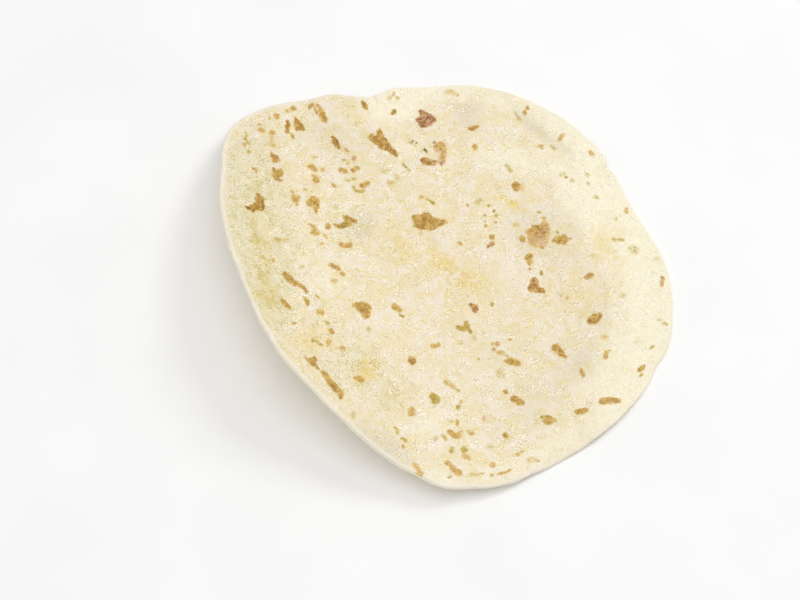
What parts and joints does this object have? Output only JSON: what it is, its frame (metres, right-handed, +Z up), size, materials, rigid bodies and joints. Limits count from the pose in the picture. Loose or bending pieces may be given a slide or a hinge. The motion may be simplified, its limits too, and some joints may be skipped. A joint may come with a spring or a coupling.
{
  "type": "tortilla",
  "caption": "Thin soft flour tortilla with scattered toasted brown marks, lying on its middle with one side curled up off the table.",
  "frame": {"origin": "on the table, under the middle of the tortilla's bounding box", "axes": "+Z up from the table, +X to the right towards the flat side, -X towards the curled side, +Y away from the viewer"},
  "size_m": [0.1814, 0.1882, 0.0318],
  "materials": {
    "crust": "matte"
  },
  "bodies": {
    "root": {"tortilla": "crust"}
  },
  "joints": []
}
